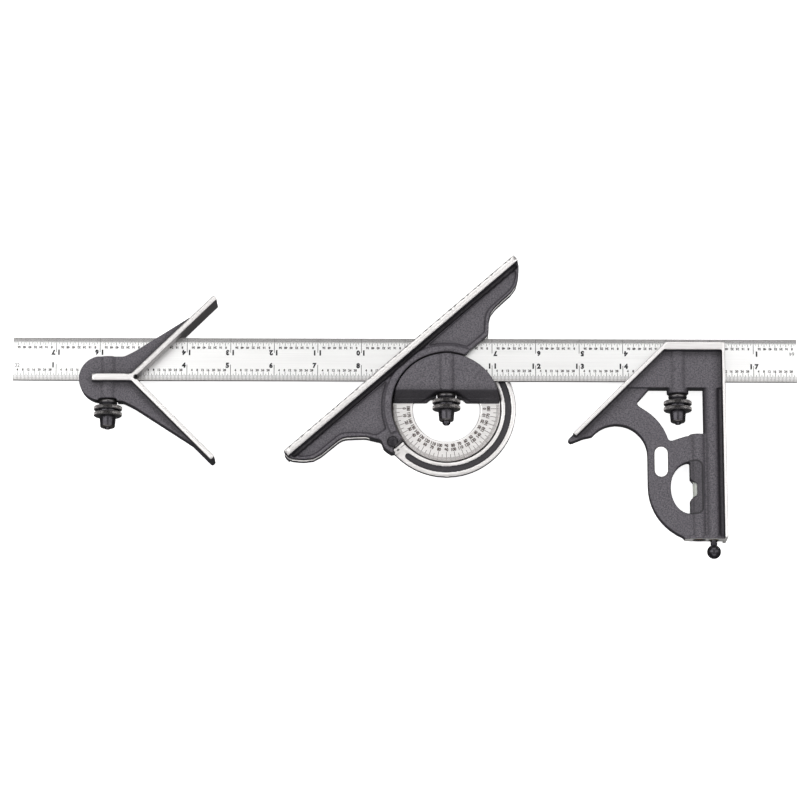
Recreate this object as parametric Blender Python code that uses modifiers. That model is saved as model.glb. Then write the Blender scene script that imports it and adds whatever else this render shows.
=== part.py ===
"""A machinist's combination square set: one graduated blade with three heads on it.

The set lies flat. +X runs along the blade, +Y across it towards its upper edge, and +Z is up,
towards the face with the scales. The origin is under the middle of the whole set.
Each head is drawn about its own clamp axis (or, for the protractor, its turret axis), in millimetres,
with z = 0 on the middle plane of the blade, and hangs on an empty that stands there.
"""

import math

import bmesh
import bpy
from mathutils import Matrix, Vector

MM = 0.001
GAP = 0.3  # clearance between neighbouring pieces

# Blade: 18 x 1 x 3/32 inch, with a clamp groove along its back
BLADE_LENGTH = 457.2
BLADE_WIDTH = 25.4
BLADE_THICKNESS = 2.4
GROOVE_WIDTH = 3.3
GROOVE_DEPTH = 0.9
GROOVE_Y = BLADE_WIDTH / 2

# Heads: 19 mm wide lands, narrower painted walls between them
LAND = 9.5  # half the width of a ground land
WALL = 4.8  # half the thickness of a painted wall beside the blade
WEB = 3.4  # half the thickness of a web away from the blade
SLOT = BLADE_THICKNESS / 2 + GAP  # half the width of a blade slot
SEAT_Y = -GAP  # where the blade's lower edge sits
LAND_EDGE = 3.1  # width of a ground land along a head's edge

# Places along the blade, from its left end, and along Y from the blade's lower edge
CENTER_STATION = 56.0
TURRET_STATION = 252.8
SQUARE_STATION = 387.3
TURRET_DROP = 15.9
PROTRACTOR_ANGLE = 41.4  # degrees between the blade and the protractor's straight edge

# Clamps: a hooked bolt in each head pulls the blade down on its seat
NUT_RING_RADIUS = 8.2
NUT_RING_PITCH = 3.55
NUT_COLLAR_RADIUS = 5.4
NUT_COLLAR_TOP = 4.8
NUT_BOTTOM = -11.5
BOLT_RADIUS = 3.6
SHANK_RADIUS = 2.35
BOLT_TOP = 14.2
SHOULDER_LOW = -2.7
SHOULDER_HIGH = -1.2
LUG_LOW = 11.3
LUG_HIGH = 13.2
BOSS_RADIUS = 6.4
BORE_TOP = 15.2
BOSS_FLOOR = 1.2
CENTER_RING_Y = -16.8  # the nut's upper knurled ring, below the blade's lower edge
TURRET_RING_Y = -12.4
SQUARE_RING_Y = -12.8

# Square head
SQUARE_FACE_X = 27.2
SQUARE_TOP_Y = 22.0
SQUARE_BOTTOM_Y = -93.5
MITRE_X = -7.0
SCRIBER_X = 19.6
SCRIBER_RADIUS = 1.15
KNOB_RADIUS = 4.05
KNOB_Y = -100.55
VIAL_X = 11.2
VIAL_RADIUS = 3.3
VIAL_BORE = 3.75

# Centre head
VERTEX_X = 16.0
ARM_REACH = 47.0

# Protractor
EDGE_V = 41.5  # from the turret axis to the straight edge
EDGE_HALF = 88.9  # 7 inches of straight edge
EDGE_LAND = 4.1
DIAL_RADIUS = 31.6
DIAL_HOLE = 19.5
DIAL_TOP = -SLOT
DIAL_BACK = -4.9
BORE_RADIUS = 31.9
PLATE_RADIUS = 40.6
FLANGE_RADIUS = 33.0
FLANGE_TOP = -3.4
BLOCK_TOP = 7.5
WING_TOP = 5.6
WING_BACK = -6.0
POCKET_FLOOR = 4.0
RING_OUTER = 36.9
RING_INNER = 29.5
LOCK_U = -37.8
LOCK_TURN = -7.0  # degrees from the index line to the lock screw
SCREW_CIRCLE = 35.2

# The box of the whole set sets the origin
PROTRACTOR_TIP = EDGE_HALF * math.sin(math.radians(PROTRACTOR_ANGLE)) + EDGE_V * math.cos(
    math.radians(PROTRACTOR_ANGLE)
)
TOP_Y = PROTRACTOR_TIP - TURRET_DROP
BOTTOM_Y = KNOB_Y - KNOB_RADIUS
MIDDLE_Y = (TOP_Y + BOTTOM_Y) / 2


# ---------------------------------------------------------------- scene and materials

for old in list(bpy.data.objects):
    bpy.data.objects.remove(old, do_unlink=True)

PARTS = bpy.data.collections.new("combination_square")
CUTTERS = bpy.data.collections.new("cutters")
for collection in (PARTS, CUTTERS):
    bpy.context.scene.collection.children.link(collection)
CUTTERS.hide_render = True


def material(name, colour, roughness, metallic):
    made = bpy.data.materials.new(name)
    made.use_nodes = True
    shader = made.node_tree.nodes["Principled BSDF"]
    shader.inputs["Base Color"].default_value = (*colour, 1.0)
    shader.inputs["Roughness"].default_value = roughness
    shader.inputs["Metallic"].default_value = metallic
    return made


CASTING = material("wrinkle_paint", (0.085, 0.080, 0.090), 0.60, 0.0)
CHROME = material("satin_chrome", (0.80, 0.80, 0.79), 0.32, 1.0)
DIAL_CHROME = material("dial_chrome", (0.72, 0.71, 0.69), 0.38, 1.0)
BLACK_OXIDE = material("black_oxide", (0.020, 0.020, 0.022), 0.28, 0.6)
STEEL = material("bright_steel", (0.55, 0.55, 0.56), 0.35, 1.0)
SPRING_STEEL = material("spring_steel", (0.42, 0.42, 0.44), 0.40, 1.0)
BRASS = material("turned_brass", (0.72, 0.52, 0.22), 0.32, 1.0)
GLASS = material("vial_glass", (0.72, 0.85, 0.45), 0.05, 0.0)
RUBBER = material("black_rubber", (0.03, 0.03, 0.03), 0.80, 0.0)
BADGE = material("white_enamel", (0.86, 0.86, 0.84), 0.30, 0.0)


# ---------------------------------------------------------------- shapes


def empty(name, station, y, turn=0.0):
    """A frame of reference on the blade's middle plane, at a station along the blade."""
    made = bpy.data.objects.new(name, None)
    made.location = ((station - BLADE_LENGTH / 2) * MM, (y - MIDDLE_Y) * MM, LAND * MM)
    made.rotation_euler = (0.0, 0.0, math.radians(turn))
    PARTS.objects.link(made)
    return made


def new_object(name, mesh, parent, finish=None):
    """A part when it has a finish, and a hidden cutter when it has none."""
    made = bpy.data.objects.new(name, mesh)
    made.parent = parent
    if finish is None:
        CUTTERS.objects.link(made)
        made.hide_render = True
        made.display_type = "WIRE"
    else:
        PARTS.objects.link(made)
        mesh.materials.append(finish)
    return made


def mesh_from(name, build):
    mesh = bpy.data.meshes.new(name)
    work = bmesh.new()
    build(work)
    bmesh.ops.recalc_face_normals(work, faces=work.faces)
    work.to_mesh(mesh)
    work.free()
    mesh.transform(Matrix.Scale(MM, 4))
    return mesh


def block(name, parent, low, high, finish=None):
    """A box between two corners."""
    size = [b - a for a, b in zip(low, high)]
    centre = [(a + b) / 2 for a, b in zip(low, high)]
    place = Matrix.Translation(centre) @ Matrix.Diagonal((*size, 1.0))
    mesh = mesh_from(name, lambda work: bmesh.ops.create_cube(work, size=1.0, matrix=place))
    return new_object(name, mesh, parent, finish)


def rod(name, parent, radius, start, end, finish=None, sides=32, end_radius=None):
    """A cylinder or a cone from one point to another."""
    start, end = Vector(start), Vector(end)
    turn = (end - start).to_track_quat("Z", "X").to_matrix().to_4x4()
    place = Matrix.Translation((start + end) / 2) @ turn

    def build(work):
        bmesh.ops.create_cone(
            work,
            cap_ends=True,
            segments=sides,
            radius1=radius,
            radius2=radius if end_radius is None else end_radius,
            depth=(end - start).length,
            matrix=place,
        )

    return new_object(name, mesh_from(name, build), parent, finish)


def arc(x, y, radius, start, end, steps=16):
    """Points along an arc, in degrees."""
    turns = [math.radians(start + (end - start) * i / steps) for i in range(steps + 1)]
    return [(x + radius * math.cos(t), y + radius * math.sin(t)) for t in turns]


def rounded(corners):
    """A closed outline from (x, y) points and (x, y, radius) corners."""
    outline = []
    for i, corner in enumerate(corners):
        here = Vector(corner[:2])
        if len(corner) < 3:
            outline.append(tuple(here))
            continue
        back = (Vector(corners[i - 1][:2]) - here).normalized()
        on = (Vector(corners[(i + 1) % len(corners)][:2]) - here).normalized()
        half = back.angle(on) / 2
        centre = here + (back + on).normalized() * corner[2] / math.sin(half)
        first = here + back * corner[2] / math.tan(half) - centre
        turn = first.angle_signed(here + on * corner[2] / math.tan(half) - centre)
        steps = max(1, round(abs(turn) / math.radians(18)))
        for step in range(steps + 1):
            spoke = first.copy()
            spoke.rotate(Matrix.Rotation(-turn * step / steps, 2))
            outline.append(tuple(centre + spoke))
    return outline


def plate(name, parent, loops, low, high, finish=None):
    """A flat solid between two heights. The first loop is its edge and the others are holes."""
    curve = bpy.data.curves.new(name, "CURVE")
    curve.dimensions = "2D"
    curve.fill_mode = "BOTH"
    curve.extrude = (high - low) / 2
    for loop in loops:
        spline = curve.splines.new("POLY")
        spline.points.add(len(loop) - 1)
        for point, (x, y) in zip(spline.points, loop):
            point.co = (x, y, 0.0, 1.0)
        spline.use_cyclic_u = True
    outline = bpy.data.objects.new(name, curve)
    CUTTERS.objects.link(outline)
    bpy.context.view_layer.update()
    graph = bpy.context.evaluated_depsgraph_get()
    mesh = bpy.data.meshes.new_from_object(outline.evaluated_get(graph))
    bpy.data.objects.remove(outline, do_unlink=True)
    work = bmesh.new()
    work.from_mesh(mesh)
    bmesh.ops.remove_doubles(work, verts=work.verts, dist=0.001)
    bmesh.ops.recalc_face_normals(work, faces=work.faces)
    work.to_mesh(mesh)
    work.free()
    mesh.transform(Matrix.Scale(MM, 4) @ Matrix.Translation((0, 0, (low + high) / 2)))
    mesh.materials.clear()
    return new_object(name, mesh, parent, finish)


def turned(name, parent, profile, finish, place=(0, 0, 0), turn=(0, 0, 0), sides=32):
    """A piece turned about its own z axis from (radius, height) points, outer side running down."""
    mesh = bpy.data.meshes.new(name)
    closed = profile[0][0] > 0
    edges = [(i, i + 1) for i in range(len(profile) - 1)]
    if closed:
        edges.append((len(profile) - 1, 0))
    mesh.from_pydata([(r * MM, 0.0, z * MM) for r, z in profile], edges, [])
    made = new_object(name, mesh, parent, finish)
    made.location = Vector(place) * MM
    made.rotation_euler = [math.radians(angle) for angle in turn]
    screw = made.modifiers.new("turn", "SCREW")
    screw.axis = "Z"
    screw.steps = screw.render_steps = sides
    screw.use_merge_vertices = True
    screw.merge_threshold = 0.00001
    screw.use_smooth_shade = True
    return made


def boolean(body, other, operation):
    step = body.modifiers.new(other.name, "BOOLEAN")
    step.operation = operation
    step.solver = "EXACT"
    step.object = other


def join(body, *others):
    for other in others:
        boolean(body, other, "UNION")


def cut(body, *others):
    for other in others:
        boolean(body, other, "DIFFERENCE")


ALONG_Y = (-90, 0, 0)  # turns a piece's own z axis to +Y


# ---------------------------------------------------------------- blade


def make_blade():
    """The blade's own frame is at its left end, on its lower edge."""
    frame = empty("blade_frame", 0.0, 0.0)
    half = BLADE_THICKNESS / 2
    blade = block("blade", frame, (0, 0, -half), (BLADE_LENGTH, BLADE_WIDTH, half), CHROME)
    groove = block(
        "blade_groove",
        frame,
        (-1, GROOVE_Y - GROOVE_WIDTH / 2, -half - 1),
        (BLADE_LENGTH + 1, GROOVE_Y + GROOVE_WIDTH / 2, -half + GROOVE_DEPTH),
    )
    cut(blade, groove)


# ---------------------------------------------------------------- clamps


def clamp_cutters(name, frame, boss_bottom):
    """The blade slot, the bolt's bore and the shank's hole of one head, with the seat at SEAT_Y."""
    return (
        rod(
            name + "_bore", frame, BOLT_RADIUS + GAP, (0, boss_bottom + BOSS_FLOOR, 0), (0, BORE_TOP, 0)
        ),
        rod(name + "_hole", frame, SHANK_RADIUS + GAP, (0, boss_bottom - 1, 0), (0, SEAT_Y - 1, 0)),
    )


def make_clamp(name, frame, ring_y, tip_y):
    """Bolt, spring and knurled nut. The nut turns about the clamp axis, and the bolt slides on it."""
    bolt = rod(
        name + "_clamp_bolt", frame, BOLT_RADIUS, (0, SHOULDER_LOW, 0), (0, BOLT_TOP, 0), BLACK_OXIDE
    )
    clear_of_blade = block(
        name + "_bolt_flat",
        frame,
        (-5, SHOULDER_HIGH, -SLOT),
        (5, BOLT_TOP + 1, BOLT_RADIUS + 1),
    )
    lug_top = -BLADE_THICKNESS / 2 + GROOVE_DEPTH - 0.25
    lug = block(
        name + "_bolt_lug", frame, (-2.4, LUG_LOW, -SLOT - 1), (2.4, LUG_HIGH, lug_top)
    )
    shank = rod(
        name + "_bolt_shank", frame, SHANK_RADIUS, (0, tip_y + 1, 0), (0, SHOULDER_LOW + 0.5, 0), sides=24
    )
    tip = rod(
        name + "_bolt_tip", frame, SHANK_RADIUS - 0.9, (0, tip_y, 0), (0, tip_y + 1.1, 0), sides=24,
        end_radius=SHANK_RADIUS,
    )
    cut(bolt, clear_of_blade)
    join(bolt, lug, shank, tip)

    make_spring(name + "_clamp_spring", frame, ring_y + NUT_COLLAR_TOP + GAP + BOSS_FLOOR)

    hole = SHANK_RADIUS + GAP
    groove = NUT_RING_RADIUS - 2.2
    profile = [(hole, NUT_COLLAR_TOP), (NUT_COLLAR_RADIUS - 0.4, NUT_COLLAR_TOP)]
    profile += [(NUT_COLLAR_RADIUS, NUT_COLLAR_TOP - 0.4), (NUT_COLLAR_RADIUS, 1.9)]
    for centre in (0.0, -NUT_RING_PITCH):
        profile += [
            (groove, centre + 1.5),
            (NUT_RING_RADIUS - 0.5, centre + 1.1),
            (NUT_RING_RADIUS, centre + 0.6),
            (NUT_RING_RADIUS, centre - 0.6),
            (NUT_RING_RADIUS - 0.5, centre - 1.1),
            (groove, centre - 1.5),
        ]
    profile += [(4.65, -5.6), (4.25, NUT_BOTTOM + 1.1), (3.3, NUT_BOTTOM), (hole, NUT_BOTTOM)]
    turned(name + "_clamp_nut", frame, profile, BLACK_OXIDE, (0, ring_y, 0), ALONG_Y, sides=24)


def make_spring(name, frame, floor):
    """An open coil spring round the shank, between the bore's floor and the bolt's shoulder."""
    wire, radius, points_per_turn = 0.6, 3.0, 8
    low = floor + wire / 2 + 0.1
    high = SHOULDER_LOW - GAP - wire / 2
    turns = max(3, round((high - low) / 1.15))
    curve = bpy.data.curves.new(name, "CURVE")
    curve.dimensions = "3D"
    curve.bevel_depth = wire / 2 * MM
    curve.bevel_resolution = 2
    curve.use_fill_caps = True
    count = turns * points_per_turn
    spline = curve.splines.new("POLY")
    spline.points.add(count)
    for i, point in enumerate(spline.points):
        angle = 2 * math.pi * i / points_per_turn
        height = low + (high - low) * i / count
        point.co = (radius * MM * math.cos(angle), height * MM, radius * MM * math.sin(angle), 1.0)
    made = bpy.data.objects.new(name, curve)
    made.parent = frame
    curve.materials.append(SPRING_STEEL)
    PARTS.objects.link(made)


# ---------------------------------------------------------------- square head


def make_square_head():
    frame = empty("square_head_frame", SQUARE_STATION, 0.0)
    inset = 0.2  # keeps web faces inside the lands that border them
    hook_x, hook_y, hook_radius, band = -36.0, -44.1, 18.0, 13.5
    grip_x, grip_radius, grip_y = 14.5, 32.5, -62.3
    edge = rounded(
        [(SQUARE_FACE_X - inset, SQUARE_TOP_Y - inset, 1.0), (MITRE_X + 0.3, SQUARE_TOP_Y - inset)]
        + [(-64.4, -35.5, 0.8), (-62.6, -37.1, 1.0), (-55.4, -34.1, 5.0)]
        + arc(hook_x, hook_y, hook_radius, 142, 0, 14)
        + arc(grip_x, grip_y, grip_radius, 180, 247, 10)
        + [(2.8, SQUARE_BOTTOM_Y), (SQUARE_FACE_X - inset, SQUARE_BOTTOM_Y, 0.8)]
    )
    window = rounded(
        [(16.0, -4.3, 1.5), (-16.4, -4.3, 2.0), (-24.7, -13.8, 2.0)]
        + arc(hook_x, hook_y, hook_radius + band, 60, 17, 10)
        + [(-4.4, -35.7, 1.2), (4.0, -32.9, 8.0), (16.0, -31.2, 1.5)]
    )
    finger_x, finger_y = 6.3, -63.4
    finger_hole = [
        (finger_x + 11.2 * math.cos(t), finger_y + 15.2 * math.sin(t))
        for t in (math.radians(90 + 180 * i / 16) for i in range(17))
    ]
    body = plate("square_head_body", frame, [edge, window, finger_hole], -WEB, WEB, CASTING)

    wall_low = -4.4
    diagonal = SQUARE_TOP_Y - MITRE_X  # the 45 degree face runs along y = x + diagonal
    wall = plate(
        "square_wall",
        frame,
        [
            [
                (SQUARE_FACE_X - 0.5, SQUARE_TOP_Y - 0.5),
                (MITRE_X + 0.5, SQUARE_TOP_Y - 0.5),
                (wall_low - diagonal + 0.7, wall_low),
                (SQUARE_FACE_X - 0.5, wall_low),
            ]
        ],
        -WALL,
        WALL,
    )
    strip = 2.5 / math.sqrt(2)
    lands = (
        block("square_top_land", frame, (MITRE_X - 0.2, 17.1, -LAND), (26.0, SQUARE_TOP_Y, LAND)),
        block("square_face_land", frame, (25.3, SQUARE_BOTTOM_Y - 0.1, -LAND), (SQUARE_FACE_X, 21.9, LAND)),
        plate(
            "square_mitre_land",
            frame,
            [
                [
                    (MITRE_X, SQUARE_TOP_Y - 0.1),
                    (-61.4, -61.4 + diagonal - 0.1),
                    (-61.4 + strip, -61.4 + diagonal - 0.1 - strip),
                    (MITRE_X + strip, SQUARE_TOP_Y - 0.1 - strip),
                ]
            ],
            -LAND,
            LAND,
        ),
    )
    boss_bottom = SQUARE_RING_Y + NUT_COLLAR_TOP + GAP
    boss = rod("square_boss", frame, BOSS_RADIUS, (0, boss_bottom, 0), (0, 18.5, 0))
    vial_case = rod("vial_case", frame, 5.1, (VIAL_X, SQUARE_BOTTOM_Y - 0.08, 0), (VIAL_X, -31.6, 0))
    scriber_case = rod(
        "scriber_case", frame, 5.2, (SCRIBER_X, SQUARE_BOTTOM_Y - 0.06, 0), (SCRIBER_X, 18.3, 0)
    )
    foot = block(
        "square_foot", frame, (5.6, SQUARE_BOTTOM_Y - 0.04, -4.2), (25.6, SQUARE_BOTTOM_Y + 1.6, 4.2)
    )
    join(body, wall, boss, vial_case, scriber_case, foot, *lands)

    slot = block("square_slot", frame, (-80, SEAT_Y, -SLOT), (40, 40, SLOT))
    scoop = rounded([(4.2, -47.6), (13.3, -47.6, 3.4), (13.3, -78.7, 3.4), (4.2, -78.7)])
    scoop_floor = VIAL_BORE + 0.95
    notch = [(5.6, -57.6), (7.9, -59.9), (7.9, -69.1), (5.6, -71.4)]
    eye = rounded([(7.0, -60.3), (9.9, -60.3, 1.6), (9.9, -68.7, 1.6), (7.0, -68.7)])
    cut(
        body,
        slot,
        *clamp_cutters("square", frame, boss_bottom),
        rod("vial_bore", frame, VIAL_BORE, (VIAL_X, SQUARE_BOTTOM_Y - 2, 0), (VIAL_X, -47.0, 0)),
        plate("vial_scoop_front", frame, [scoop], scoop_floor, LAND + 1),
        plate("vial_scoop_back", frame, [scoop], -LAND - 1, -scoop_floor),
        plate("vial_notch", frame, [notch], -8, 8),
        plate("vial_eye", frame, [eye], -8.5, 8.5),
        rod("scriber_bore", frame, 1.5, (SCRIBER_X, SQUARE_BOTTOM_Y - 2, 0), (SCRIBER_X, -20, 0), sides=20),
        rod("bushing_bore", frame, 2.9, (SCRIBER_X, SQUARE_BOTTOM_Y - 2, 0), (SCRIBER_X, -84.7, 0)),
        plate("badge_recess", frame, [badge_outline(GAP)], WEB - 0.5, WEB + 1),
    )
    make_clamp("square", frame, SQUARE_RING_Y, -25.4)
    make_level_vial(frame)
    make_scriber(frame)
    plate("badge_plate", frame, [badge_outline(0.0)], WEB - 0.2, WEB + 0.4, BADGE)


def badge_outline(margin):
    """A pill between two arcs, grown by a margin."""
    x, top, bottom, radius = -10.3, -43.2, -53.2, 3.8 + margin
    return arc(x, top, radius, 0, 180, 10) + arc(x, bottom, radius, 180, 360, 10)


def make_level_vial(frame):
    """The vial lies along Y between a rubber cushion and a slotted plug."""
    top, bottom = -49.9, -78.4
    dome = [(VIAL_RADIUS * math.sin(t), math.cos(t)) for t in (math.radians(15 * i) for i in range(7))]
    profile = [(r, top - 1 + rise) for r, rise in dome]
    profile += [(r, bottom + 1 - rise) for r, rise in reversed(dome)]
    turned("level_vial_glass", frame, profile, GLASS, (VIAL_X, 0, 0), ALONG_Y, sides=16)
    cushion = [(0, -47.3), (3.1, -47.3), (3.4, -47.6), (3.4, -49.3), (3.1, -49.6), (0, -49.6)]
    turned("level_vial_cushion", frame, cushion, RUBBER, (VIAL_X, 0, 0), ALONG_Y, sides=24)
    plug_profile = [(0, -78.7), (3.1, -78.7), (3.4, -79.0), (3.4, -92.4), (3.1, -92.7), (0, -92.7)]
    plug = turned("level_vial_plug", frame, plug_profile, BRASS, (VIAL_X, 0, 0), ALONG_Y, sides=24)
    slot = block("plug_slot", frame, (VIAL_X - 5, -94, -0.5), (VIAL_X + 5, -91.4, 0.5))
    cut(plug, slot)


def make_scriber(frame):
    """A hardened needle in a turned knob, held in a split brass bushing."""
    inner = SCRIBER_RADIUS + GAP
    bushing = [(inner, -85.0), (2.4, -85.0), (2.6, -85.2), (2.6, -93.2), (inner, -93.2)]
    turned("scriber_bushing", frame, bushing, BRASS, (SCRIBER_X, 0, 0), ALONG_Y, sides=24)
    needle = [(0, -22.0), (0.15, -22.2), (SCRIBER_RADIUS, -28.0), (SCRIBER_RADIUS, -98.2), (0, -98.2)]
    turned("scriber_needle", frame, needle, STEEL, (SCRIBER_X, 0, 0), ALONG_Y, sides=16)
    neck = 2.15
    joint_angle = math.degrees(math.asin(1.7 / KNOB_RADIUS))
    ball = [
        (KNOB_RADIUS * math.sin(t), KNOB_Y + KNOB_RADIUS * math.cos(t))
        for t in (math.radians(joint_angle + (180 - joint_angle) * i / 12) for i in range(13))
    ]
    ball[-1] = (0.0, KNOB_Y - KNOB_RADIUS)
    knob = [(0, -98.6), (inner, -98.6), (inner, -93.9), (neck, -93.9), (neck, -95.4), (1.75, -95.7)] + ball
    turned("scriber_knob", frame, knob, BLACK_OXIDE, (SCRIBER_X, 0, 0), ALONG_Y, sides=16)


# ---------------------------------------------------------------- centre head


def make_center_head():
    frame = empty("center_head_frame", CENTER_STATION, 0.0)
    lump = 13.4
    arm_start, arm_end = (15.5, 16.6), (50.3, 39.2)
    edge = rounded(
        arc(-3.6, 0.3, lump, 90, 270, 20)
        + [(9.0, -13.3, 3.0), (arm_start[0], -arm_start[1], 8.0), (arm_end[0], -arm_end[1])]
        + [(VERTEX_X + 1.0, -0.3), (VERTEX_X + 1.0, 0.3)]
        + [(arm_end[0], arm_end[1]), (*arm_start, 8.0), (9.0, 13.3, 3.0)]
    )
    body = plate("center_head_body", frame, [edge], -WALL, WALL, CASTING)
    run = ARM_REACH
    across = LAND_EDGE * math.sqrt(2)  # a 45 degree bar's width, measured along x
    vee = rounded(
        [(VERTEX_X, 0.0), (VERTEX_X + run, run, 0.5), (VERTEX_X + run - across / 2, run + across / 2, 0.8)]
        + [(VERTEX_X - across, 0.0)]
        + [(VERTEX_X + run - across / 2, -run - across / 2, 0.8), (VERTEX_X + run, -run, 0.5)]
    )
    boss_bottom = CENTER_RING_Y + NUT_COLLAR_TOP + GAP
    join(
        body,
        rod("center_boss", frame, BOSS_RADIUS, (0, boss_bottom, 0), (0, 16.8, 0)),
        plate("center_vee", frame, [vee], -LAND, LAND),
        plate("center_stem", frame, [[(-9.0, -2.1), (13.5, -2.1), (13.5, 2.1), (-9.0, 2.1)]], -LAND, LAND),
    )
    cut(
        body,
        block("center_slot", frame, (-20, SEAT_Y, -SLOT), (90, BLADE_WIDTH + GAP, SLOT)),
        block("center_boss_trim", frame, (-8, 13.3, 0), (8, 20, 12)),
        rod("center_spot_face", frame, 7.0, (0, boss_bottom - 5, 0), (0, boss_bottom, 0)),
        rod("center_relief", frame, 1.3, (VERTEX_X + 0.5, 0, -12), (VERTEX_X + 0.5, 0, 12), sides=16),
        *clamp_cutters("center", frame, boss_bottom),
    )
    make_clamp("center", frame, CENTER_RING_Y, -29.1)


# ---------------------------------------------------------------- protractor


def make_turret():
    """The turret is drawn about the clamp axis, with the blade's lower edge at y = 0."""
    frame = empty("turret_frame", TURRET_STATION, 0.0)
    axis_y = -TURRET_DROP
    sill = axis_y + 3.2  # where the block's sloping side meets the dial
    brow = axis_y + 9.4  # where the slope meets the block's face
    boss_bottom = TURRET_RING_Y + NUT_COLLAR_TOP + GAP
    profile = [(0, DIAL_TOP), (DIAL_RADIUS, DIAL_TOP), (DIAL_RADIUS, FLANGE_TOP)]
    profile += [(FLANGE_RADIUS, FLANGE_TOP), (FLANGE_RADIUS, DIAL_BACK), (0, DIAL_BACK)]
    body = turned("protractor_turret", frame, profile, DIAL_CHROME, (0, axis_y, 0), sides=72)

    block_radius = 31.2
    start = math.degrees(math.asin((sill - axis_y) / block_radius))
    half_disc = arc(0, axis_y, block_radius, start, 180 - start, 36)
    half_block = plate("turret_block", frame, [half_disc], DIAL_TOP - 0.5, BLOCK_TOP)
    ridge = rod("turret_ridge", frame, 4.9, (0, boss_bottom - 1, 0), (0, axis_y + 30.9, 0))
    ridge_z, ridge_rise = 6.2, 3.1
    ridge.data.transform(
        Matrix.Translation((0, 0, ridge_z * MM)) @ Matrix.Diagonal((1, 1, ridge_rise / 4.9, 1))
    )
    rib = block("turret_rib", frame, (-4.7, boss_bottom - 1, -2), (4.7, 10.5, ridge_z))
    boss = rod("turret_boss", frame, BOSS_RADIUS, (0, boss_bottom - 1, 0), (0, 10.5, 0))
    join(body, half_block, ridge, rib, boss)

    lean = (brow - sill) / (BLOCK_TOP - DIAL_TOP)
    over, skim = 1.0, 0.02  # how far the slope's cutter stands above the block and the dial
    slope = [(brow + over * lean, BLOCK_TOP + over), (sill - 4, BLOCK_TOP + over)]
    slope += [(sill - 4, DIAL_TOP + skim), (sill + skim * lean, DIAL_TOP + skim)]
    notch_half, notch_top, neck_half = 11.5, boss_bottom - 3.1, 5.9
    hole_angle = math.degrees(math.asin((sill + 0.3 - axis_y) / DIAL_HOLE))
    hole = arc(0, axis_y, DIAL_HOLE, 180 - hole_angle, 360 + hole_angle, 36)
    shoulder = notch_half - 2.2
    notch = [(notch_half, sill + 0.3), (shoulder, notch_top)]
    notch += [(neck_half, notch_top), (neck_half, boss_bottom)]
    hole += notch + [(-x, y) for x, y in reversed(notch)]
    pocket_half = 14.5
    hollow = [
        (-pocket_half, sill - 3),
        (pocket_half, sill - 3),
        (pocket_half, sill + 0.6),
        (neck_half, boss_bottom - 0.02),
        (-neck_half, boss_bottom - 0.02),
        (-pocket_half, sill + 0.6),
    ]
    cut(
        body,
        wedge("turret_slope", frame, slope, 40.0),
        plate("nut_hollow", frame, [hollow], DIAL_TOP + 0.5, LAND + 4),
        plate("dial_hole", frame, [hole], -12, 14),
        block("turret_slot", frame, (-40, SEAT_Y, -SLOT), (40, 30, SLOT)),
        *clamp_cutters("turret", frame, boss_bottom),
    )
    make_clamp("turret", frame, TURRET_RING_Y, -26.2)


def wedge(name, parent, section, half_width):
    """A prism along x from an outline in y and z."""
    made = plate(name, parent, [section], -half_width, half_width)
    # the outline's x, y become y, z, and its height becomes x
    made.data.transform(Matrix(((0, 0, 1, 0), (1, 0, 0, 0), (0, 1, 0, 0), (0, 0, 0, 1))))
    return made


def wing_outline():
    """One side of the frame below the straight edge, from the blade's side to the tip (u > 0)."""
    return [(46.6, 15.9, 2.0), (56.0, 25.8, 12.0), (79.0, 26.5, 14.0), (EDGE_HALF, 36.5, 6.0)]


def mirrored(corners):
    return [(-corner[0], *corner[1:]) for corner in reversed(corners)]


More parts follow.
